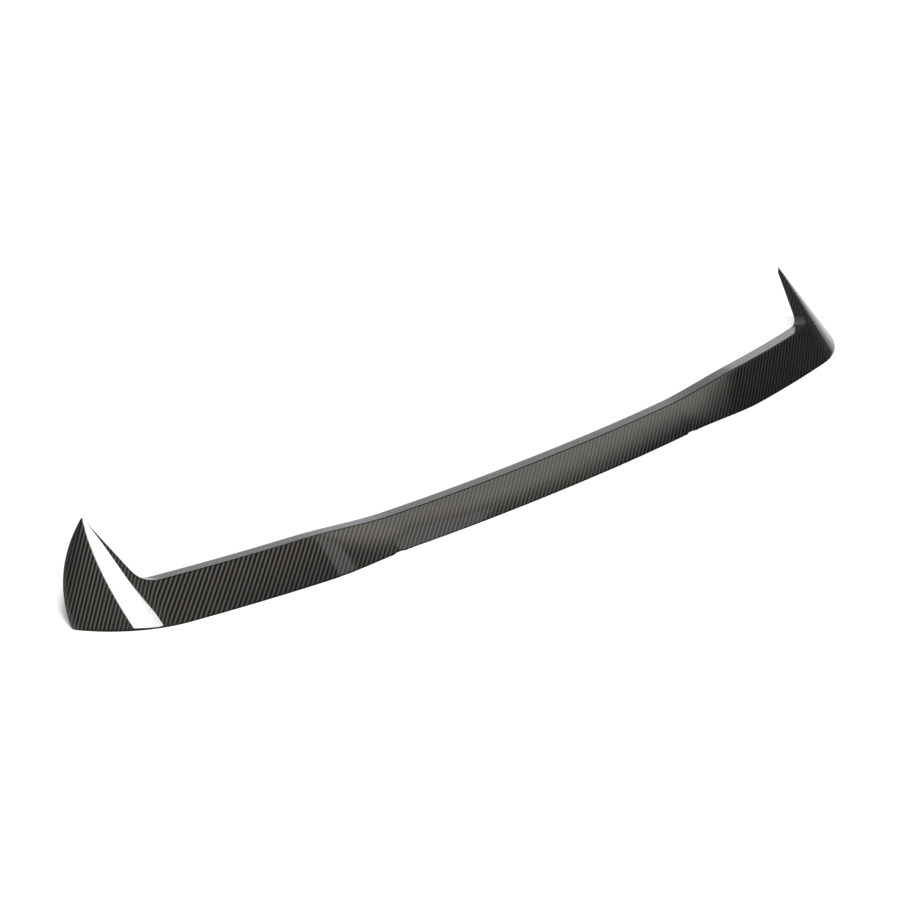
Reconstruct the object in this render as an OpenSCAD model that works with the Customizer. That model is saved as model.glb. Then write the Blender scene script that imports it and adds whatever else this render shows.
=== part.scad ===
// Rear spoiler lip for a hatch or boot edge, moulded in one piece as a thin woven laminate.
// X runs across the car, Y forward, Z up. The origin is the middle of the lower edge.
// The piece is open underneath and in front: a sloping rear face, a rounded ridge,
// a narrow shelf behind the ridge, and a pointed horn that rises forward at each end.

/* [Span] */
// Distance from the middle to where the lower edge starts to curve forward
straight_half = 528; // [500:1:560]
// How far the bow brings the ends forward, measured at the bow reference
bow_depth = 72; // [40:1:90]
// Distance from the middle at which the bow is measured
bow_reference = 625; // [560:1:680]
// Shape of the bow: 2 is a parabola, more keeps the middle straighter
bow_power = 2.2; // [2:0.1:2.6]

/* [Middle section] */
// Horizontal depth of the rear face in the middle
mid_face_run = 36.8; // [30:0.1:42]
// Height of the rear face in the middle
mid_face_rise = 26.3; // [22:0.1:32]

/* [Outer sections] */
// Horizontal depth of the rear face in the outer sections
outer_face_run = 41.7; // [36:0.1:46]
// Height of the rear face in the outer sections
outer_face_rise = 35.5; // [32:0.1:42]
// How far the outer lower edge stands behind the middle one
outer_setback = 10.5; // [0:0.1:16]
// Distance from the middle at which the section starts to grow
step_start = 232; // [180:1:280]
// Distance from the middle at which the section has its full size
step_end = 364; // [320:1:420]
// How far the rear face bulges outwards between its edges
face_crown = 0.8; // [0:0.1:2]

/* [Ridge and shelf] */
// Outer radius of the ridge
ridge_radius = 3; // [2.5:0.1:5]
// Depth of the shelf from the ridge to its front edge
shelf_depth = 20; // [14:0.5:28]
// How far the shelf falls from the ridge to its front edge
shelf_fall = 3.8; // [0:0.1:8]
// Thickness of the laminate
wall = 2; // [1.2:0.1:2.2]

/* [Horns] */
// Distance of the horn tip from the middle
tip_half = 572; // [555:1:600]
// Height of the horn tip
tip_height = 94; // [84:1:120]
// Radius of the curve of the lower edge, in plan
end_radius = 125; // [105:1:145]
// Angle through which the lower edge turns before the cut edge
end_turn = 52; // [44:1:60]
// Further turn of the cut edge between the lower corner and the tip
cut_bulge = 26; // [10:1:34]
// Turn at which the ridge of the horn stands
horn_ridge_turn = 4.7; // [0:0.1:8]
// Turn over which the ridge rounds the inner corner
corner_turn = 16; // [10:1:22]
// Share of the horn over which the ridge rounds the inner corner
corner_rise = 0.14; // [0.08:0.01:0.2]
// Width of the inner flange at the horn tip
tip_flange = 4; // [3:0.1:6]
// Angle by which the inner flange of the horn points down
flange_droop = 18; // [0:1:40]
// Share of the horn over which the inner flange runs to a point
tip_point = 0.06; // [0.03:0.01:0.12]
// Size of the blunt end of the horn, as a share of its length
tip_blunt = 0.012; // [0.01:0.002:0.03]
// Radius of the lower corner, as a turn of the lower edge
corner_round = 2; // [1:0.5:4]

/* [Lower edge notches] */
// Distance of the left notch from the middle
left_notch = 260; // [180:1:300]
// Distance of the right notch from the middle
right_notch = 226; // [180:1:300]
// Length of a notch along the lower edge
notch_length = 15.5; // [8:0.5:24]
// Length over which a notch runs out at each end
notch_taper = 3.5; // [1:0.5:4]
// Depth of a notch up the rear face
notch_depth = 1.7; // [0:0.1:4]

/* [Fineness] */
// Rows of points in the middle section
mid_rows = 11; // [6:1:14]
// Rows of points in each step of the section
step_rows = 12; // [8:1:16]
// Rows of points in each outer section
outer_rows = 9; // [5:1:12]
// Rows of points along the lower edge of each horn
edge_rows = 18; // [12:1:20]
// Rows of points along the cut edge of each horn
cut_rows = 14; // [10:1:18]

/* [Hidden] */

face_points = 8;
face_end = 0.93;
ridge_points = 5;
shelf_points = 3;
corner_rows = 12;
blend_rows = 5;
notch_rows = 4;
blend_length = 60;
notch_margin = 2;
radius_share = 0.3;
setback_share = 0.8;
wall_share = 0.3;
flange_share = 0.2;
quarter = 0.25;

shelf_width = norm([shelf_depth, shelf_fall]);
shelf_direction = [0, shelf_depth, -shelf_fall] / shelf_width;
flange_direction = [0, cos(flange_droop), -sin(flange_droop)];
outer_face_width = norm([outer_face_run, outer_face_rise]);
crown_direction = [0, -outer_face_rise, outer_face_run] / outer_face_width;

// The horn is a cone: straight lines from the tip to the curved lower edge.
// The tip lies in the plane of the outer rear face, so face and horn run into each other.
horn_tip = [tip_half, tip_height * outer_face_run / outer_face_rise - outer_setback, tip_height];
ridge_level = 1 - outer_face_rise / tip_height;
corner_start = horn_ridge_turn - corner_turn;
blend_lower = edge_point(corner_start)[0];
blend_upper = cone_point([corner_start, ridge_level])[0];
blend_start = blend_lower - blend_length;
horn_rows = edge_rows + cut_rows + 1;

function mix(a, b, t) = a + (b - a) * t;
function clamp(t) = max(0, min(1, t));
function ease(t) = let (c = clamp(t)) c * c * (3 - 2 * c);
function unit(v) = v / norm(v);
function bowed(p) = [p[0], p[1] + bow_depth * pow(abs(p[0]) / bow_reference, bow_power), p[2]];
function mirrored(p) = [-p[0], p[1], p[2]];

// Straight part: lower edge and ridge at a distance x from the middle.
function growth(x) = ease((x - step_start) / (step_end - step_start));
function uncut_edge(x) = [x, -outer_setback * growth(x), 0];
function ridge_edge(x) = [
    x,
    mix(mid_face_run, outer_face_run - outer_setback, growth(x)),
    mix(mid_face_rise, outer_face_rise, growth(x))
];

// A shallow notch lifts the lower edge along the face, with a taper at each end.
function notch_lift(x, notch) =
    notch_depth * ease((notch_length / 2 - abs(x - notch)) / notch_taper);
function lower_edge(x, notch) = let (low = uncut_edge(x))
    low + notch_lift(x, notch) * unit(ridge_edge(x) - low);

// Lower edge as a turn: negative turns lie on the straight part.
function edge_point(turn) = turn < 0
    ? [straight_half + end_radius * turn * PI / 180, -outer_setback, 0]
    : [straight_half + end_radius * sin(turn), end_radius * (1 - cos(turn)) - outer_setback, 0];

// A point of the cone from its turn and level: 0 at the tip, 1 at the lower edge.
function cone_point(c) = mix(horn_tip, edge_point(c[0]), c[1]);

// Turn and level along the ridge of the horn, first round the inner corner.
function ridge_course(i) = i <= corner_rows
    ? let (q = i / corner_rows) [
        horn_ridge_turn - corner_turn * pow(1 - q, 2),
        ridge_level - corner_rise * q * q
    ]
    : let (s = (i - corner_rows) / (horn_rows - corner_rows)) [
        horn_ridge_turn,
        mix(ridge_level - corner_rise, tip_blunt, s)
    ];

// Turn and level along the lower edge, the rounded lower corner and the cut edge.
function cut_turn(level) = end_turn + cut_bulge * (1 - level);
function corner_level() = 1 - corner_round * PI / 180;
function edge_course(i) = i <= edge_rows
    ? [mix(corner_start, end_turn - corner_round, i / edge_rows), 1]
    : i == edge_rows + 1
    ? [end_turn - corner_round * quarter, mix(1, corner_level(), quarter)]
    : let (level = mix(corner_level(), tip_blunt, (i - edge_rows - 2) / (cut_rows - 1)))
        [cut_turn(level), level];

// One row of points across the piece: face, rounded ridge, shelf or flange.
function across(face, flange, width) = let (
    upper = face[face_points],
    rising = unit(upper - face[face_points - 1]),
    bend = acos(rising * flange),
    room = setback_share * norm(upper - face[face_points - 1]),
    radius = min(ridge_radius, width * radius_share, room / tan(bend / 2)),
    setback = radius * tan(bend / 2),
    inward = unit(flange - (rising * flange) * rising),
    start = upper - setback * rising
) concat(
    [for (j = [0:face_points - 1]) face[j]],
    [for (j = [0:ridge_points]) let (a = bend * j / ridge_points)
        start + radius * (sin(a) * rising + (1 - cos(a)) * inward)],
    [for (j = [1:shelf_points]) upper + flange * mix(setback, width, j / shelf_points)]
);

function face_line(lower, upper, crown) = [
    for (j = [0:face_points]) let (b = face_share(j))
        mix(lower, upper, b) + crown * 4 * b * (1 - b) * crown_direction
];
function face_share(j) = j == face_points ? 1 : face_end * j / (face_points - 1);

function straight_row(x_lower, x_upper, notch, crown) = across(
    face_line(lower_edge(x_lower, notch), ridge_edge(x_upper), crown),
    shelf_direction,
    shelf_width
);

// The flange narrows from the shelf to the horn tip, where it runs to a point.
function flange_width(level) =
    mix(tip_flange, shelf_width, clamp(level / ridge_level)) * clamp(level / tip_point);

function horn_row(i) = let (
    low = edge_course(i),
    high = ridge_course(i),
    turned = clamp(i / corner_rows),
    flange = unit(mix(shelf_direction, flange_direction, ease(turned))),
    width = flange_width(high[1]),
    face = [for (j = [0:face_points]) cone_point(mix(low, high, face_share(j)))]
) across(face, flange, width);

// Distances from the middle at which rows stand, closer together at the notch.
plain_stations = [
    for (i = [0:mid_rows - 1]) step_start * i / mid_rows,
    for (i = [0:step_rows - 1]) mix(step_start, step_end, i / step_rows),
    for (i = [0:outer_rows - 1]) mix(step_end, blend_start, i / outer_rows)
];
function notch_stations(notch) = let (far = notch_length / 2) [
    for (i = [0:notch_rows]) notch - far + notch_taper * i / notch_rows,
    for (i = [0:notch_rows]) notch + far - notch_taper * (1 - i / notch_rows)
];
function stations(notch) = let (far = notch_length / 2 + notch_margin) concat(
    [for (x = plain_stations) if (x < notch - far) x],
    notch_stations(notch),
    [for (x = plain_stations) if (x > notch + far) x]
);

// One half of the outer skin, from the middle to the horn tip.
function half_rows(notch) = let (rows = [
    for (x = stations(notch)) straight_row(x, x, notch, face_crown),
    for (i = [0:blend_rows - 1]) let (t = i / blend_rows) straight_row(
        mix(blend_start, blend_lower, t),
        mix(blend_start, blend_upper, t),
        notch,
        face_crown * (1 - ease(t))
    ),
    for (i = [0:horn_rows]) horn_row(i)
]) [for (row = rows) [for (p = row) bowed(p)]];
left_half = half_rows(left_notch);
outer_skin = concat(
    [for (i = [len(left_half) - 1:-1:1]) [for (p = left_half[i]) mirrored(p)]],
    half_rows(right_notch)
);
row_last = len(outer_skin) - 1;
point_last = len(outer_skin[0]) - 1;

// The inner skin lies one wall below the outer one, less where the horn gets narrow.
function skin_normal(i, j) = unit(cross(
    outer_skin[min(i + 1, row_last)][j] - outer_skin[max(i - 1, 0)][j],
    outer_skin[i][min(j + 1, point_last)] - outer_skin[i][max(j - 1, 0)]
));
function row_wall(i) = let (row = outer_skin[i]) min(
    wall,
    wall_share * norm(row[0] - row[face_points]),
    flange_share * norm(row[point_last] - row[face_points])
);
function below_skin(i, j) = outer_skin[i][j] - row_wall(i) * skin_normal(i, j);
// The trimmed lower edge is level, so that it stands flat.
function level_cut(low, next) = low[2] < 0 ? low + (next - low) * low[2] / (low[2] - next[2]) : low;
inner_skin = [
    for (i = [0:row_last]) [
        for (j = [0:point_last]) j == 0 ? level_cut(below_skin(i, 0), below_skin(i, 1)) : below_skin(i, j)
    ]
];

function flat_list(rows) = [for (row = rows) for (p = row) p];
function two_triangles(a, b, c, d) = [[a, b, c], [a, c, d]];

module spoiler_shell() {
    columns = point_last + 1;
    inner_start = (row_last + 1) * columns;
    skins = [for (i = [0:row_last - 1]) for (j = [0:point_last - 1]) let (
            a = i * columns + j,
            b = a + columns
        ) each concat(
            two_triangles(a, a + 1, b + 1, b),
            two_triangles(inner_start + a, inner_start + b, inner_start + b + 1, inner_start + a + 1)
        )];
    long_edges = [for (i = [0:row_last - 1]) let (
            a = i * columns,
            b = a + columns,
            c = a + point_last,
            d = b + point_last
        ) each concat(
            two_triangles(a, b, inner_start + b, inner_start + a),
            two_triangles(c, inner_start + c, inner_start + d, d)
        )];
    end_a = 0;
    end_b = row_last * columns;
    ends = [for (j = [0:point_last - 1]) each concat(
            two_triangles(end_a + j, inner_start + end_a + j, inner_start + end_a + j + 1, end_a + j + 1),
            two_triangles(end_b + j, end_b + j + 1, inner_start + end_b + j + 1, inner_start + end_b + j)
        )];
    color([0.13, 0.13, 0.12])
        polyhedron(
            points = concat(flat_list(outer_skin), flat_list(inner_skin)),
            faces = concat(skins, long_edges, ends),
            convexity = 10
        );
}

spoiler_shell();
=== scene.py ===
# %% [markdown]
# # A rear spoiler lip in woven carbon
# This lesson builds a wide, shallow lip for the edge of a boot lid. The real piece is one thin
# laminate: woven cloth in clear resin, moulded in one go and polished until it mirrors the room.
# The measured model is loaded first, because every shape here has to lie where it lies.

import math

import bmesh
import bpy
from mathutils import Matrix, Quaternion, Vector


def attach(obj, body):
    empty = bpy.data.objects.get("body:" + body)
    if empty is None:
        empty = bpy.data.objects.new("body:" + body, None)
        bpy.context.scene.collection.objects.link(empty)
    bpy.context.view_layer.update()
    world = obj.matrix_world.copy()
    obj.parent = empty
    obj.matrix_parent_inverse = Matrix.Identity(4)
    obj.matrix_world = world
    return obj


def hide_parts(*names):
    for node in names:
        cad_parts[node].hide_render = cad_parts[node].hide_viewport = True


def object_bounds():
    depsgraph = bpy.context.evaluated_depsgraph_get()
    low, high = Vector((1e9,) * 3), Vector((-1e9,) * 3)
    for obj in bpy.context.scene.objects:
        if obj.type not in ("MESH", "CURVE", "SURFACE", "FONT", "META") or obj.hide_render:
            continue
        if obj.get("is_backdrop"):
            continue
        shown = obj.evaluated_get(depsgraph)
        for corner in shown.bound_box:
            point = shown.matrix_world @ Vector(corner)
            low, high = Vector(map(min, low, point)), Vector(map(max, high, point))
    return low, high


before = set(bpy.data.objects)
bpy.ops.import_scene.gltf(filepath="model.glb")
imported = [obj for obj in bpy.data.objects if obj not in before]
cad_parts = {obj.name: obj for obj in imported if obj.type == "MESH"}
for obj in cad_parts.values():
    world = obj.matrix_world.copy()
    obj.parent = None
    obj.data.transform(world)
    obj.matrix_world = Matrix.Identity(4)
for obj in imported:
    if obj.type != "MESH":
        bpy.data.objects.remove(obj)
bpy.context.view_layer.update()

MM = 0.001
scene = bpy.context.scene

# %% [markdown]
# ## The sizes of the moulding
# A designer would draw this lip with few numbers: a sloping rear face, a rounded ridge, a narrow
# shelf, a bow that brings the ends forward, and a horn at each end. The same numbers as in the
# measured model are used, in millimetres, so that the polished skin stays on it.

# %% Sizes in millimetres
STRAIGHT_HALF = 528.0
BOW_DEPTH, BOW_REFERENCE, BOW_POWER = 72.0, 625.0, 2.2
MID_RUN, MID_RISE = 36.8, 26.3
OUTER_RUN, OUTER_RISE, OUTER_SETBACK = 41.7, 35.5, 10.5
STEP_START, STEP_END = 232.0, 364.0
CROWN = 0.8
RIDGE_RADIUS = 3.0
SHELF_DEPTH, SHELF_FALL = 20.0, 3.8
WALL = 2.0
TIP_HALF, TIP_HEIGHT = 572.0, 94.0
END_RADIUS, END_TURN, CUT_BULGE = 125.0, 52.0, 26.0
RIDGE_TURN, CORNER_TURN, CORNER_RISE = 4.7, 16.0, 0.14
TIP_FLANGE, FLANGE_DROOP, TIP_POINT, TIP_BLUNT = 4.0, 18.0, 0.06, 0.012
CORNER_ROUND = 2.0
BLEND_LENGTH = 60.0
LEFT_NOTCH, RIGHT_NOTCH = 260.0, 226.0
NOTCH_LENGTH, NOTCH_TAPER, NOTCH_DEPTH = 15.5, 3.5, 1.7
CORNER_STEPS, EDGE_STEPS, ROUND_STEPS, CUT_STEPS = 12, 18, 2, 13
HORN_STEPS = EDGE_STEPS + ROUND_STEPS + CUT_STEPS
EDGE_SOFTNESS, ARC_MIDDLE = 0.35, 0.293
print("outer face", OUTER_RISE, "mm high, shelf", SHELF_DEPTH, "mm deep, wall", WALL, "mm")

# %% [markdown]
# ## Small helpers
# Two helpers carry most of the shape: a smooth step from 0 to 1, and the bow that pushes a point
# forward the further it is from the middle.

# %% Helpers for the surface
def mix(a, b, t):
    return a + (b - a) * t


def clamp(t):
    return max(0.0, min(1.0, t))


def ease(t):
    c = clamp(t)
    return c * c * (3 - 2 * c)


def bow(x):
    return BOW_DEPTH * (abs(x) / BOW_REFERENCE) ** BOW_POWER


def bowed(p):
    return Vector((p.x, p.y + bow(p.x), p.z))


def growth(x):
    return ease((x - STEP_START) / (STEP_END - STEP_START))


def uncut_edge(x):
    return Vector((x, -OUTER_SETBACK * growth(x), 0))


def ridge_edge(x):
    g = growth(x)
    return Vector((x, mix(MID_RUN, OUTER_RUN - OUTER_SETBACK, g), mix(MID_RISE, OUTER_RISE, g)))


def notch_lift(x, notch):
    return NOTCH_DEPTH * ease((NOTCH_LENGTH / 2 - abs(x - notch)) / NOTCH_TAPER)


print("the bow brings the horn's foot", round(bow(STRAIGHT_HALF), 1), "mm forward")

# %% [markdown]
# ## The horn as a cone
# Each end rises to a point. The real form is made of straight lines that run from the tip to the
# curved lower edge, which is a cone. A point on it needs two numbers: how far the lower edge has
# turned, and the level between the tip (0) and the edge (1).

# %% Points of the horn
HORN_TIP = Vector((TIP_HALF, TIP_HEIGHT * OUTER_RUN / OUTER_RISE - OUTER_SETBACK, TIP_HEIGHT))
RIDGE_LEVEL = 1 - OUTER_RISE / TIP_HEIGHT
CORNER_LEVEL = 1 - math.radians(CORNER_ROUND)
CORNER_START = RIDGE_TURN - CORNER_TURN


def edge_point(turn):
    a = math.radians(turn)
    if turn < 0:
        return Vector((STRAIGHT_HALF + END_RADIUS * a, -OUTER_SETBACK, 0))
    forward = END_RADIUS * (1 - math.cos(a)) - OUTER_SETBACK
    return Vector((STRAIGHT_HALF + END_RADIUS * math.sin(a), forward, 0))


def cone_point(turn, level):
    return mix(HORN_TIP, edge_point(turn), level)


def ridge_course(i):
    if i <= CORNER_STEPS:
        q = i / CORNER_STEPS
        return RIDGE_TURN - CORNER_TURN * (1 - q) ** 2, RIDGE_LEVEL - CORNER_RISE * q * q
    s = (i - CORNER_STEPS) / (HORN_STEPS - CORNER_STEPS)
    return RIDGE_TURN, mix(RIDGE_LEVEL - CORNER_RISE, TIP_BLUNT, s)


def cut_turn(level):
    return END_TURN + CUT_BULGE * (1 - level)


def edge_course(i):
    if i <= EDGE_STEPS:
        return mix(CORNER_START, END_TURN - CORNER_ROUND, i / EDGE_STEPS), 1.0
    if i < EDGE_STEPS + ROUND_STEPS:
        t = (i - EDGE_STEPS) / ROUND_STEPS
        ends = (END_TURN - CORNER_ROUND, END_TURN, cut_turn(CORNER_LEVEL))
        turn = (1 - t) ** 2 * ends[0] + 2 * t * (1 - t) * ends[1] + t * t * ends[2]
        return turn, 1 - t * t * (1 - CORNER_LEVEL)
    level = mix(CORNER_LEVEL, TIP_BLUNT, (i - EDGE_STEPS - ROUND_STEPS) / CUT_STEPS)
    return cut_turn(level), level


print("tip of the cone, before the bow:", [round(c, 1) for c in HORN_TIP], "mm")

# %% [markdown]
# ## One row across the piece
# A row starts at the lower edge, climbs the rear face, rounds the ridge on a true arc and runs out
# along the shelf. Points stand closer together next to the ridge and the edges, so that the smooth
# shading bends there and nowhere else.

# %% Rows across
SHELF_WIDTH = math.hypot(SHELF_DEPTH, SHELF_FALL)
SHELF_DIRECTION = Vector((0, SHELF_DEPTH, -SHELF_FALL)) / SHELF_WIDTH
DROOP_ANGLE = math.radians(FLANGE_DROOP)
FLANGE_DIRECTION = Vector((0, math.cos(DROOP_ANGLE), -math.sin(DROOP_ANGLE)))
CROWN_DIRECTION = Vector((0, -OUTER_RISE, OUTER_RUN)).normalized()
FACE_END = 0.93
FACE_POINTS, RIDGE_POINTS, SHELF_POINTS = 20, 12, 6
NEAR_STEP, NEAR_SHARE = 0.6, 0.2
FACE_SHARES = [FACE_END * k / (FACE_POINTS - 1) for k in range(FACE_POINTS)] + [1.0]
RADIUS_SHARE, SETBACK_SHARE, WALL_SHARE, FLANGE_SHARE = 0.3, 0.8, 0.3, 0.2


def across(face, flange, width):
    upper = face[-1]
    rising = (upper - face[-2]).normalized()
    bend = math.acos(max(-1.0, min(1.0, rising.dot(flange))))
    room = SETBACK_SHARE * (upper - face[-2]).length
    radius = min(RIDGE_RADIUS, width * RADIUS_SHARE, room / math.tan(bend / 2))
    setback = radius * math.tan(bend / 2)
    inward = (flange - rising.dot(flange) * rising).normalized()
    start = upper - setback * rising
    arc = [
        start + radius * (math.sin(a) * rising + (1 - math.cos(a)) * inward)
        for a in (bend * k / RIDGE_POINTS for k in range(RIDGE_POINTS + 1))
    ]
    near = start - min(NEAR_STEP, NEAR_SHARE * (start - face[-2]).length) * rising
    reaches = [mix(setback, width, k / SHELF_POINTS) for k in range(1, SHELF_POINTS + 1)]
    shelf = [upper + flange * reach for reach in reaches]
    shelf.insert(0, arc[-1] + flange * min(NEAR_STEP, NEAR_SHARE * (width - setback)))
    return face[:-1] + [near] + arc + shelf


def crowned(point, share, amount):
    return point + amount * 4 * share * (1 - share) * CROWN_DIRECTION


def straight_row(x_lower, x_upper, notch, crown):
    low, high = uncut_edge(x_lower), ridge_edge(x_upper)
    rise = (ridge_edge(x_lower) - low).normalized()
    low = low + notch_lift(x_lower, notch) * rise
    face = [crowned(mix(low, high, b), b, crown) for b in FACE_SHARES]
    return across(face, SHELF_DIRECTION, SHELF_WIDTH)


def flange_width(level):
    return mix(TIP_FLANGE, SHELF_WIDTH, clamp(level / RIDGE_LEVEL)) * clamp(level / TIP_POINT)


def horn_row(i):
    low, high = edge_course(i), ridge_course(i)
    turned = clamp(i / CORNER_STEPS)
    face = [cone_point(mix(low[0], high[0], b), mix(low[1], high[1], b)) for b in FACE_SHARES]
    flange = mix(SHELF_DIRECTION, FLANGE_DIRECTION, ease(turned)).normalized()
    return across(face, flange, flange_width(high[1]))


print("shelf width", round(SHELF_WIDTH, 2), "mm")

# %% [markdown]
# ## The cloth on the mould
# The weave has to follow the surface as real cloth would, so each point also gets its place on the
# flat cloth, in millimetres. Flat faces roll out by themselves. A cone rolls out too: its straight
# lines keep their length and the angles between them add up.

# %% Flat cloth coordinates
FACE_SLOPE = math.hypot(OUTER_RUN, OUTER_RISE)
TIP_ON_CLOTH = Vector((TIP_HALF, TIP_HEIGHT * FACE_SLOPE / OUTER_RISE))


def developed_angles(first, last, count):
    turns = [mix(first, last, k / count) for k in range(count + 1)]
    rays = [(edge_point(turn) - HORN_TIP).normalized() for turn in turns]
    flat = Vector((edge_point(first).x, 0)) - TIP_ON_CLOTH
    angles = [math.atan2(flat.y, flat.x)]
    for before, ray in zip(rays, rays[1:]):
        angles.append(angles[-1] + before.angle(ray))
    return angles


CONE_FIRST, CONE_LAST, CONE_COUNT = CORNER_START, END_TURN + CUT_BULGE, 400
CONE_ANGLES = developed_angles(CONE_FIRST, CONE_LAST, CONE_COUNT)
print("the cone rolls out over", round(math.degrees(CONE_ANGLES[-1] - CONE_ANGLES[0]), 1), "degrees")


def cloth_on_cone(turn, level):
    k = clamp((turn - CONE_FIRST) / (CONE_LAST - CONE_FIRST)) * CONE_COUNT
    low = min(int(k), CONE_COUNT - 1)
    angle = mix(CONE_ANGLES[low], CONE_ANGLES[low + 1], k - low)
    reach = level * (edge_point(turn) - HORN_TIP).length
    return TIP_ON_CLOTH + reach * Vector((math.cos(angle), math.sin(angle)))


def lean(x):
    rise = ridge_edge(x) - uncut_edge(x)
    return rise.y / rise.length


def straight_cloth(x_lower, x_upper, notch):
    high = (ridge_edge(x_upper) - uncut_edge(x_upper)).length
    lift = notch_lift(x_lower, notch)
    flat = [Vector((mix(x_lower, x_upper, b), mix(lift, high, b))) for b in FACE_SHARES]
    return [Vector((p.x, p.y + lean(p.x) * (bow(p.x) + uncut_edge(p.x).y))) for p in flat]


def horn_cloth(i):
    low, high = edge_course(i), ridge_course(i)
    flat = []
    for b in FACE_SHARES:
        turn, level = mix(low[0], high[0], b), mix(low[1], high[1], b)
        place = cloth_on_cone(turn, level)
        forward = bow(cone_point(turn, level).x) - OUTER_SETBACK
        flat.append(Vector((place.x, place.y + lean(STRAIGHT_HALF) * forward)))
    return flat


# %% [markdown]
# ## Rows along the piece
# The right half is laid out row by row from the middle to the tip. The rows stand close where the
# section changes or turns and further apart where it runs straight.

# %% Lay out the right half
MID_ROWS, STEP_ROWS, OUTER_ROWS, BLEND_ROWS, HORN_FINENESS = 36, 48, 30, 14, 4
BLEND_LOWER = edge_point(CORNER_START).x
BLEND_UPPER = cone_point(CORNER_START, RIDGE_LEVEL).x
BLEND_START = BLEND_LOWER - BLEND_LENGTH

PLAIN_STATIONS = (
    [STEP_START * k / MID_ROWS for k in range(MID_ROWS)]
    + [mix(STEP_START, STEP_END, k / STEP_ROWS) for k in range(STEP_ROWS)]
    + [mix(STEP_END, BLEND_START, k / OUTER_ROWS) for k in range(OUTER_ROWS)]
)
NOTCH_STEPS, NOTCH_MARGIN = 6, 1.0


def stations(notch):
    far = NOTCH_LENGTH / 2
    near = [notch - far + NOTCH_TAPER * k / NOTCH_STEPS for k in range(NOTCH_STEPS + 1)]
    beyond = [2 * notch - x for x in reversed(near)]
    before = [x for x in PLAIN_STATIONS if x < notch - far - NOTCH_MARGIN]
    after = [x for x in PLAIN_STATIONS if x > notch + far + NOTCH_MARGIN]
    return before + near + [notch] + beyond + after


def lay_half(notch):
    rows, cloth = [], []
    for x in stations(notch):
        rows.append(straight_row(x, x, notch, CROWN))
        cloth.append(straight_cloth(x, x, notch))
    for k in range(BLEND_ROWS):
        t = k / BLEND_ROWS
        ends = mix(BLEND_START, BLEND_LOWER, t), mix(BLEND_START, BLEND_UPPER, t)
        rows.append(straight_row(*ends, notch, CROWN * (1 - ease(t))))
        cloth.append(straight_cloth(*ends, notch))
    for k in range(HORN_STEPS * HORN_FINENESS + 1):
        rows.append(horn_row(k / HORN_FINENESS))
        cloth.append(horn_cloth(k / HORN_FINENESS))
    return [[bowed(p) for p in row] for row in rows], cloth


right_half, right_cloth = lay_half(RIGHT_NOTCH)
left_half, left_cloth = lay_half(LEFT_NOTCH)
print("rows in the right half:", len(right_half), "points across:", len(right_half[0]))

# %% [markdown]
# The ridge and the shelf carry the cloth on past the face. Their place on the flat cloth is found by
# walking on from the ridge, square to the line that the ridge draws on the cloth.

# %% Carry the cloth over the ridge
RIDGE_COLUMN = len(FACE_SHARES)


def cloth_row(rows, cloth, n):
    row, flat = rows[n], cloth[n]
    along = cloth[min(n + 1, len(cloth) - 1)][-1] - cloth[max(n - 1, 0)][-1]
    outward = Vector((-along.y, along.x)).normalized()
    upper = flat[-1]
    rising = upper - flat[-2]
    laid = list(flat[:-1])
    walked = -rising.length
    for k in range(RIDGE_COLUMN - 1, len(row)):
        walked += (row[k] - row[k - 1]).length
        course = rising.normalized() if walked < 0 else outward
        laid.append(upper + course * walked)
    return laid


right_places = [cloth_row(right_half, right_cloth, n) for n in range(len(right_half))]
left_places = [cloth_row(left_half, left_cloth, n) for n in range(len(left_half))]
print("cloth reaches", round(right_places[0][-1].y, 1), "mm up at the middle")

# %% [markdown]
# No cloth lies perfectly straight. On the left side it was pulled a little askew, so its slanting
# lines stand steeper there, and around the left horn it was pushed together.

# %% Let the cloth settle
PULL, PULL_START, PULL_LENGTH = 0.114, 240.0, 90.0
PUSH, PUSH_START = 0.3, 545.0


def settled(p):
    pulled = PULL * ease((-p.x - PULL_START) / PULL_LENGTH) * p.y
    pushed = PUSH * max(0.0, -p.x - PUSH_START)
    return Vector((p.x + pulled - pushed, p.y))


print("cloth from (-600, 40) settles at", [round(c, 1) for c in settled(Vector((-600.0, 40.0)))])

# %% [markdown]
# ## Both halves and the inside
# The left half mirrors the right one. The cloth runs on through the middle in one piece, as it does
# on the real lip, so its pattern isn't mirrored. The inside lies one wall below the outside.

# %% Mirror and add the wall
def mirrored_row(row):
    return [Vector((-p.x, p.y, p.z)) for p in row]


outer = [mirrored_row(row) for row in reversed(left_half[1:])] + right_half
left_side = [[settled(Vector((-p.x, p.y))) for p in row] for row in reversed(left_places[1:])]
places = left_side + right_places
ROWS, COLUMNS = len(outer), len(outer[0])


def skin_normal(i, j):
    along = outer[min(i + 1, ROWS - 1)][j] - outer[max(i - 1, 0)][j]
    over = outer[i][min(j + 1, COLUMNS - 1)] - outer[i][max(j - 1, 0)]
    return along.cross(over).normalized()


def row_wall(i):
    face = (outer[i][0] - outer[i][RIDGE_COLUMN]).length
    flange = (outer[i][-1] - outer[i][RIDGE_COLUMN]).length
    return min(WALL, WALL_SHARE * face, FLANGE_SHARE * flange)


def inner_row(i):
    return [outer[i][j] - row_wall(i) * skin_normal(i, j) for j in range(COLUMNS)]


inner = [inner_row(i) for i in range(ROWS)]
for row in inner:
    low, following = row[0], row[1]
    if low.z < 0:
        row[0] = low + (following - low) * low.z / (low.z - following.z)
print("rows:", ROWS, "columns:", COLUMNS)

# %% [markdown]
# ## Softened edges
# The trimmed edges of the real piece are sanded and coated, so they catch a thin line of light.
# Each corner of the section is replaced by three points on a small round.

# %% The closed section
def soft_corner(corner, one, other, size):
    a = (one - corner).normalized() * size
    b = (other - corner).normalized() * size
    return [corner + a, corner + ARC_MIDDLE * (a + b), corner + b]


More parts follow.
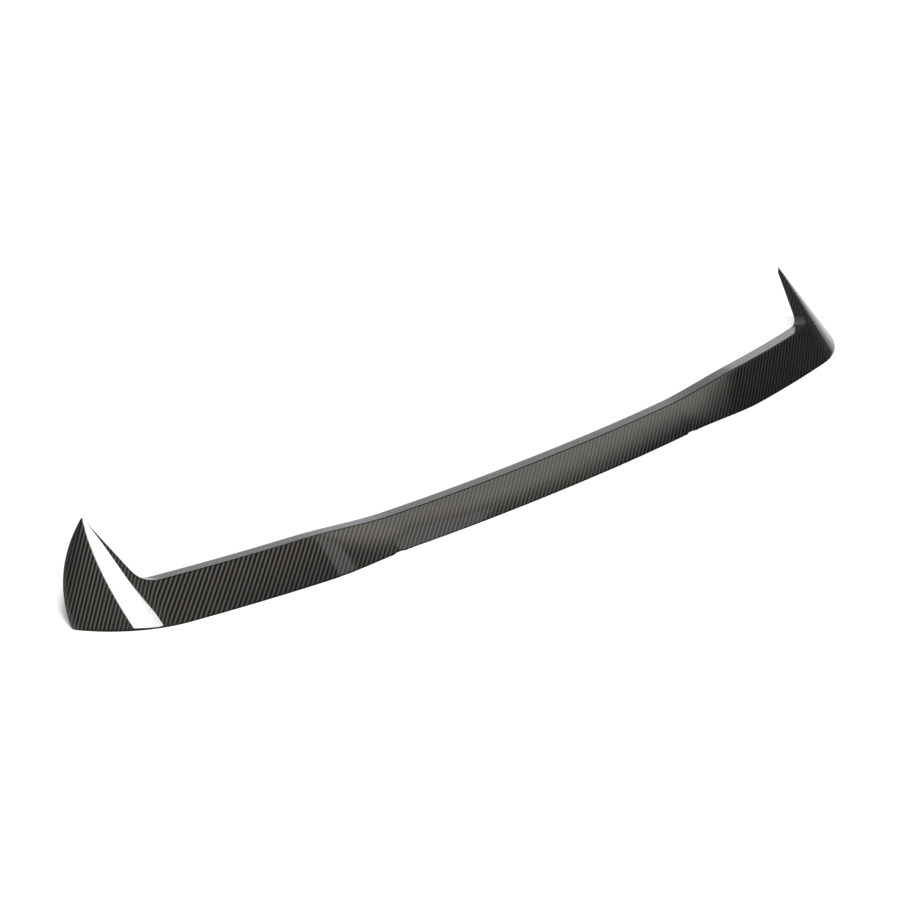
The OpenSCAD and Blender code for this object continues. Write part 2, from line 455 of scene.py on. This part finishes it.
def closed_section(i):
    size = EDGE_SOFTNESS * row_wall(i) / WALL
    out, inn = outer[i], inner[i]
    flat = places[i]
    points = list(out[1:-1])
    spots = list(flat[1:-1])
    for corner, one, other, spot in (
        (out[-1], out[-2], inn[-1], flat[-1]),
        (inn[-1], out[-1], inn[-2], flat[-1]),
    ):
        points += soft_corner(corner, one, other, size)
        spots += [spot] * 3
    points += list(reversed(inn[1:-1]))
    spots += list(reversed(flat[1:-1]))
    for corner, one, other, spot in (
        (inn[0], inn[1], out[0], flat[0]),
        (out[0], inn[0], out[1], flat[0]),
    ):
        points += soft_corner(corner, one, other, size)
        spots += [spot] * 3
    return points, spots


sections = [closed_section(i) for i in range(ROWS)]
AROUND = len(sections[0][0])
print("points around each section:", AROUND)

# %% [markdown]
# ## The shell as a mesh
# A plain grid has the right rows and columns already, so the shell starts as one and each of its
# points is moved to its place. The last column meets the first one, where doubles are merged, and
# the ends are filled.

# %% Build the shell
MERGE_DISTANCE = 1e-7


def build_shell(name):
    bm = bmesh.new()
    bmesh.ops.create_grid(bm, x_segments=AROUND, y_segments=ROWS - 1, size=0.5)
    cloth = bm.loops.layers.uv.new("cloth")
    spots = {}
    for vert in bm.verts:
        column = round((vert.co.x + 0.5) * AROUND)
        row = round((vert.co.y + 0.5) * (ROWS - 1))
        points, flat = sections[row]
        vert.co = points[column % AROUND] * MM
        spots[vert] = flat[column % AROUND]
    for face in bm.faces:
        face.smooth = True
        for loop in face.loops:
            loop[cloth].uv = spots[loop.vert] * MM
    bmesh.ops.remove_doubles(bm, verts=bm.verts, dist=MERGE_DISTANCE)
    rims = [edge for edge in bm.edges if len(edge.link_faces) == 1]
    filled = bmesh.ops.holes_fill(bm, edges=rims, sides=0)["faces"]
    bmesh.ops.triangulate(bm, faces=filled)
    bmesh.ops.recalc_face_normals(bm, faces=bm.faces)
    mesh = bpy.data.meshes.new(name)
    bm.to_mesh(mesh)
    open_edges = sum(1 for edge in bm.edges if len(edge.link_faces) != 2)
    print("open edges:", open_edges, "volume cm3:", round(bm.calc_volume() * 1e6, 1))
    bm.free()
    shell = bpy.data.objects.new(name, mesh)
    scene.collection.objects.link(shell)
    return shell


shell = build_shell("laminate_shell")
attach(shell, "root")
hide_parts("spoiler_shell")
print("shell faces:", len(shell.data.polygons))

# %% [markdown]
# ## Woven carbon under clear resin
# The cloth is a two by two twill: every tow goes over two and under two, each row one step on, so
# slanting lines run over the surface. Nodes do this better than a picture would, because they stay
# sharp at any distance. First come four helpers, with which the weave can be written almost like
# plain sums. A mix node holds sockets for every kind of value, so they are picked by their place:
# 2 and 3 take numbers, 6 and 7 take colours.

# %% Helpers for nodes
def math_node(tree, operation, first, second=None):
    node = tree.nodes.new("ShaderNodeMath")
    node.operation = operation
    for socket, value in zip(node.inputs, (first, second)):
        if value is None:
            continue
        if isinstance(value, (int, float)):
            socket.default_value = value
        else:
            tree.links.new(value, socket)
    return node.outputs[0]


def blend_colours(tree, factor, first, second):
    node = tree.nodes.new("ShaderNodeMix")
    node.data_type = "RGBA"
    tree.links.new(factor, node.inputs["Factor"])
    for socket, value in ((node.inputs[6], first), (node.inputs[7], second)):
        if isinstance(value, tuple):
            socket.default_value = (*value, 1)
        else:
            tree.links.new(value, socket)
    return node.outputs[2]


def choose(tree, factor, first, second):
    node = tree.nodes.new("ShaderNodeMix")
    tree.links.new(factor, node.inputs["Factor"])
    tree.links.new(first, node.inputs[2])
    tree.links.new(second, node.inputs[3])
    return node.outputs[0]


def rounded(tree, place, length, power):
    from_middle = math_node(tree, "SUBTRACT", math_node(tree, "MULTIPLY", place, 2.0 / length), 1.0)
    return math_node(tree, "POWER", math_node(tree, "ABSOLUTE", from_middle), power)


# %% [markdown]
# ## The weave, counted in tows
# The cloth coordinates are turned a little and divided by the width of a tow, so that each whole
# number is one tow. The two whole numbers tell which tow lies on top. A tow falls away towards its
# sides and where it dives under the next one, and there its colour is darkened gradually into the
# gap: the dark gap itself is real, the darkening on the way to it is painted shade of the rounded
# tow.

# %% The twill
TOW = 1.55 * MM
CLOTH_TURN = math.radians(6.0)
FLOAT_LENGTH, REPEAT = 2.0, 4.0
SIDE_POWER, END_POWER = 1.6, 2.5


def counted_tows(tree):
    cloth = tree.nodes.new("ShaderNodeUVMap")
    cloth.uv_map = "cloth"
    laid = tree.nodes.new("ShaderNodeMapping")
    laid.inputs["Rotation"].default_value = (0, 0, CLOTH_TURN)
    laid.inputs["Scale"].default_value = (1 / TOW, 1 / TOW, 1)
    tree.links.new(cloth.outputs[0], laid.inputs["Vector"])
    apart = tree.nodes.new("ShaderNodeSeparateXYZ")
    tree.links.new(laid.outputs[0], apart.inputs[0])
    return apart.outputs[0], apart.outputs[1]


def twill(tree):
    u, v = counted_tows(tree)
    whole_u, whole_v = math_node(tree, "FLOOR", u), math_node(tree, "FLOOR", v)
    step = math_node(tree, "SUBTRACT", whole_u, whole_v)
    phase = math_node(tree, "FLOORED_MODULO", step, REPEAT)
    warp = math_node(tree, "LESS_THAN", phase, FLOAT_LENGTH - 0.5)
    along_warp = math_node(tree, "ADD", math_node(tree, "SUBTRACT", v, whole_u), 1.0)
    along_weft = math_node(tree, "SUBTRACT", math_node(tree, "SUBTRACT", u, whole_v), FLOAT_LENGTH)
    over_width = choose(tree, warp, math_node(tree, "FRACT", v), math_node(tree, "FRACT", u))
    over_length = math_node(tree, "FLOORED_MODULO", choose(tree, warp, along_weft, along_warp), REPEAT)
    # Each tow darkens towards its sides and ends: painted shade of its rounding.
    side = rounded(tree, over_width, 1.0, SIDE_POWER)
    end = rounded(tree, over_length, FLOAT_LENGTH, END_POWER)
    return warp, math_node(tree, "MAXIMUM", side, end)


print("twill lines repeat every", REPEAT, "tows of", round(TOW / MM, 2), "mm")

# %% [markdown]
# ## The carbon finish
# Carbon tows are bundles of fine dark threads, so they shine in streaks across their length: that
# is an anisotropic metal whose direction turns by a quarter from warp to weft. This streak makes one
# set of tows look light and the other dark, and the base colours paint it in as well: the same fibre
# gets a lighter and a darker colour, a painted sheen on one set. The clear resin is a coat over it,
# smooth as glass.

# %% The carbon finish
# The lighter tow colour is painted sheen: both sets of tows are the same fibre.
LIT_TOW_SHEEN = (0.037, 0.034, 0.028)
DARK_TOW = (0.0105, 0.0105, 0.0115)
# The colour where the painted shade of each rounded tow ends, in the dark gap between tows.
TOW_GAP_AND_SHADE = (0.002, 0.002, 0.002)
TOW_STREAK, TOW_ROUGHNESS = 0.92, 0.53
COAT, COAT_ROUGHNESS = 1.0, 0.02
QUARTER_TURN = 0.25


def point_along_tows(tree, shader, warp):
    along = tree.nodes.new("ShaderNodeTangent")
    along.direction_type = "UV_MAP"
    along.uv_map = "cloth"
    tree.links.new(along.outputs[0], shader.inputs["Tangent"])
    weft = math_node(tree, "SUBTRACT", 1.0, warp)
    turned = math_node(tree, "MULTIPLY", weft, QUARTER_TURN)
    tree.links.new(turned, shader.inputs["Anisotropic Rotation"])


def carbon_material(name):
    material = bpy.data.materials.new(name)
    material.use_nodes = True
    tree = material.node_tree
    shader = tree.nodes["Principled BSDF"]
    warp, gap_and_shade = twill(tree)
    # Painted sheen: one set of tows gets the lighter colour, the other the darker one.
    tows = blend_colours(tree, warp, DARK_TOW, LIT_TOW_SHEEN)
    # Painted shade darkens each tow towards its edges and into the gap.
    tree.links.new(blend_colours(tree, gap_and_shade, tows, TOW_GAP_AND_SHADE), shader.inputs["Base Color"])
    point_along_tows(tree, shader, warp)
    shader.inputs["Anisotropic"].default_value = TOW_STREAK
    shader.inputs["Roughness"].default_value = TOW_ROUGHNESS
    shader.inputs["Metallic"].default_value = 1.0
    shader.inputs["Coat Weight"].default_value = COAT
    shader.inputs["Coat Roughness"].default_value = COAT_ROUGHNESS
    return material


shell.data.materials.append(carbon_material("carbon_twill"))
print("finish:", shell.data.materials[0].name)

# %% [markdown]
# ## The floor
# The lip lies on pale paper. The paper also glows a little for the camera and for mirrored rays,
# and more so far from the lit spot, where the lamps don't reach. So it is white everywhere, and
# next to the piece the lamps still draw its shadow.

# %% Floor
FLOOR_REACH = 12.0
PAPER = (0.62, 0.62, 0.62)
LIT_SPOT = (-0.4, 0.0, 0.0)
NEAR_REACH, FAR_REACH = 0.45, 1.45
NEAR_GLOW, FAR_GLOW = 0.12, 0.98


def glow_level(tree):
    spot = tree.nodes.new("ShaderNodeTexCoord").outputs["Object"]
    reach = tree.nodes.new("ShaderNodeVectorMath")
    reach.operation = "DISTANCE"
    tree.links.new(spot, reach.inputs[0])
    reach.inputs[1].default_value = LIT_SPOT
    level = tree.nodes.new("ShaderNodeMapRange")
    tree.links.new(reach.outputs["Value"], level.inputs["Value"])
    level.inputs["From Min"].default_value = NEAR_REACH
    level.inputs["From Max"].default_value = FAR_REACH
    level.inputs["To Min"].default_value = NEAR_GLOW
    level.inputs["To Max"].default_value = FAR_GLOW
    return level.outputs[0]


def paper_material(name):
    material = bpy.data.materials.new(name)
    material.use_nodes = True
    tree = material.node_tree
    tree.nodes.clear()
    out = tree.nodes.new("ShaderNodeOutputMaterial")
    paper = tree.nodes.new("ShaderNodeBsdfDiffuse")
    paper.inputs["Color"].default_value = (*PAPER, 1)
    glow = tree.nodes.new("ShaderNodeEmission")
    rays = tree.nodes.new("ShaderNodeLightPath")
    seen = math_node(tree, "MAXIMUM", rays.outputs["Is Camera Ray"], rays.outputs["Is Glossy Ray"])
    seen = math_node(tree, "MAXIMUM", seen, rays.outputs["Is Transmission Ray"])
    tree.links.new(math_node(tree, "MULTIPLY", seen, glow_level(tree)), glow.inputs["Strength"])
    both = tree.nodes.new("ShaderNodeAddShader")
    tree.links.new(paper.outputs[0], both.inputs[0])
    tree.links.new(glow.outputs[0], both.inputs[1])
    tree.links.new(both.outputs[0], out.inputs["Surface"])
    return material


def paper_floor(name):
    bm = bmesh.new()
    bmesh.ops.create_grid(bm, x_segments=1, y_segments=1, size=FLOOR_REACH)
    mesh = bpy.data.meshes.new(name)
    bm.to_mesh(mesh)
    bm.free()
    mesh.materials.append(paper_material("floor_white"))
    floor = bpy.data.objects.new(name, mesh)
    scene.collection.objects.link(floor)
    return floor


floor = paper_floor("studio_floor")
floor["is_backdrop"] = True
print("floor reaches", FLOOR_REACH, "m to each side")

# %% [markdown]
# ## What the polished coat mirrors
# A polished part shows the room around it. Only mirrored rays see this room, and plain rays get an
# even level. The room is drawn as soft panels on the sky. Each line below gives a panel's corners
# as azimuth and elevation in degrees, the softness of its border in degrees, and its colour: two
# dark sides first, then pale walls, a strip of ceiling and a narrow lamp. A later panel lies over
# an earlier one.

# %% The room's panels
ROOM_LEVEL = (0.30, 0.30, 0.30)
PANELS = [
    (((-34, -10), (-34, 38), (30, 38), (30, -10)), 2.0, (0.05, 0.056, 0.075)),
    (((10, -10), (10, 72), (60, 60), (60, -10)), 2.0, (0.05, 0.056, 0.075)),
    (((150, -10), (150, 35), (195, 35), (195, -10)), 3.0, (1.1, 1.1, 1.1)),
    (((22, -20), (22, 14), (125, 14), (125, -20)), 2.5, (0.75, 0.75, 0.75)),
    (((58, -20), (58, 40), (125, 40), (125, -20)), 3.0, (1.0, 1.0, 1.0)),
    (((18, -20), (18, 20), (44.5, 20), (44.5, -20)), 1.5, (1.2, 1.2, 1.2)),
    (((-22, 46.9), (-22, 62), (2, 62), (2, 30.6)), 5.0, (2.0, 1.94, 1.8)),
    (((-22.6, 48.6), (-46, 40.5), (-46, 45), (-28.5, 52.5), (-22.6, 54)), 0.6, (1.3, 1.3, 1.3)),
]
print("panels in the room:", len(PANELS))


def towards(azimuth, elevation):
    a, e = math.radians(azimuth), math.radians(elevation)
    return Vector((math.cos(a) * math.cos(e), math.sin(a) * math.cos(e), math.sin(e)))


# %% [markdown]
# A panel is cut out by the planes through its neighbouring corners and the eye. On the right side
# of every plane the mask is 1, on the wrong side 0, and in between it fades. This only works for
# panels without a corner that points inwards.

# %% Masks for the panels
def soft_step(tree, value, low, high):
    node = tree.nodes.new("ShaderNodeMapRange")
    node.interpolation_type = "SMOOTHSTEP"
    tree.links.new(value, node.inputs["Value"])
    node.inputs["From Min"].default_value = low
    node.inputs["From Max"].default_value = high
    return node.outputs[0]


def dot_with(tree, looking, direction):
    node = tree.nodes.new("ShaderNodeVectorMath")
    node.operation = "DOT_PRODUCT"
    tree.links.new(looking, node.inputs[0])
    node.inputs[1].default_value = direction
    return node.outputs["Value"]


def panel_mask(tree, looking, corners, softness):
    soft = math.sin(math.radians(softness))
    ends = [towards(*corner) for corner in corners]
    middle = sum(ends, Vector()).normalized()
    mask = None
    for one, other in zip(ends, ends[1:] + ends[:1]):
        side = one.cross(other).normalized()
        if side.dot(middle) < 0:
            side = -side
        inside = soft_step(tree, dot_with(tree, looking, side), -soft, soft)
        mask = inside if mask is None else math_node(tree, "MULTIPLY", mask, inside)
    return mask


# %% [markdown]
# Where the floor ends, a pale band closes the room, but only on the far side from the camera. The
# same world gives plain rays their even level, and the camera sees it white.

# %% World
HORIZON, HORIZON_TOP, HORIZON_FOOT = (0.85, 0.85, 0.88), 9.0, 5.0
HORIZON_SIDE, SIDE_SOFTNESS = 32.0, 0.05
PLAIN_LEVEL = (0.3, 0.3, 0.3)
WHITE = (1.0, 1.0, 1.0)


def horizon_mask(tree, looking):
    top, foot = (math.sin(math.radians(height)) for height in (HORIZON_TOP, HORIZON_FOOT))
    low_down = soft_step(tree, dot_with(tree, looking, Vector((0, 0, 1))), top, foot)
    sideways = dot_with(tree, looking, towards(HORIZON_SIDE, 0))
    return math_node(tree, "MULTIPLY", low_down, soft_step(tree, sideways, -SIDE_SOFTNESS, SIDE_SOFTNESS))


def room_colour(tree):
    looking = tree.nodes.new("ShaderNodeTexCoord").outputs["Generated"]
    colour = ROOM_LEVEL
    for corners, softness, shade in PANELS:
        colour = blend_colours(tree, panel_mask(tree, looking, corners, softness), colour, shade)
    return blend_colours(tree, horizon_mask(tree, looking), colour, HORIZON)


def studio_world(name):
    world = bpy.data.worlds.new(name)
    world.use_nodes = True
    tree = world.node_tree
    tree.nodes.clear()
    out = tree.nodes.new("ShaderNodeOutputWorld")
    sky = tree.nodes.new("ShaderNodeBackground")
    rays = tree.nodes.new("ShaderNodeLightPath")
    seen = math_node(tree, "MAXIMUM", rays.outputs["Is Camera Ray"], rays.outputs["Is Transmission Ray"])
    level = blend_colours(tree, seen, PLAIN_LEVEL, WHITE)
    colour = blend_colours(tree, rays.outputs["Is Glossy Ray"], level, room_colour(tree))
    tree.links.new(colour, sky.inputs["Color"])
    tree.links.new(sky.outputs[0], out.inputs["Surface"])
    return world


scene.world = studio_world("studio")
print("nodes in the world:", len(scene.world.node_tree.nodes))

# %% [markdown]
# ## Lamps
# The key lamp hangs over the left horn, which mirrors it whole as a white wedge, so its size and
# turn give the wedge its shape. The top lamp lights the weave in the middle. Both have a narrow
# cone, which leaves the right end darker.

# %% Lamps
def softbox(name, target, direction, distance, size, power, roll, spread):
    data = bpy.data.lights.new(name, "AREA")
    data.shape = "RECTANGLE"
    data.size, data.size_y = size
    data.energy = power
    data.spread = math.radians(spread)
    lamp = bpy.data.objects.new(name, data)
    aim = Vector(direction).normalized()
    lamp.location = Vector(target) + aim * distance
    turned = aim.to_track_quat("Z", "Y") @ Quaternion((0, 0, 1), math.radians(roll))
    lamp.rotation_euler = turned.to_euler()
    scene.collection.objects.link(lamp)
    print(name, "at", [round(c, 2) for c in lamp.location])


softbox(
    "softbox_key",
    target=(-0.57, 0.1, 0.04),
    direction=towards(-121.0, 60.7),
    distance=2.2,
    size=(1.18, 0.467),
    power=6.8,
    roll=-10.5,
    spread=70.0,
)
softbox(
    "softbox_top",
    target=(-0.12, 0.05, 0.02),
    direction=(-0.3, -0.3, 0.905),
    distance=2.0,
    size=(0.5, 0.5),
    power=9.5,
    roll=0.0,
    spread=90.0,
)

# %% [markdown]
# ## Camera
# The camera stands behind the car's left corner and looks down on the lip with a long lens, so
# that the far end hardly shrinks.

# %% Camera
CAMERA_PLACE = (-1.8650, -1.7376, 1.1555)
CAMERA_LOOKS = (0.6357, 0.6606, -0.3992)
CAMERA_LENS, CAMERA_SENSOR = 96.0, 36.0


def lip_camera(name):
    data = bpy.data.cameras.new(name)
    data.lens = CAMERA_LENS
    data.sensor_width = CAMERA_SENSOR
    camera = bpy.data.objects.new(name, data)
    camera.location = CAMERA_PLACE
    camera.rotation_euler = Vector(CAMERA_LOOKS).to_track_quat("-Z", "Y").to_euler()
    scene.collection.objects.link(camera)
    return camera


scene.camera = lip_camera("view")
scene.view_settings.view_transform = "Standard"
print("camera at", CAMERA_PLACE, "lens", CAMERA_LENS, "mm")

# %% [markdown]
# ## Measure and finish
# The finished piece has to stay where the measured model is, so the box around the finished piece is
# printed at the end.

# %% Measure and finish
low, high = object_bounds()
print("final box", [round(c, 4) for c in low], [round(c, 4) for c in high])
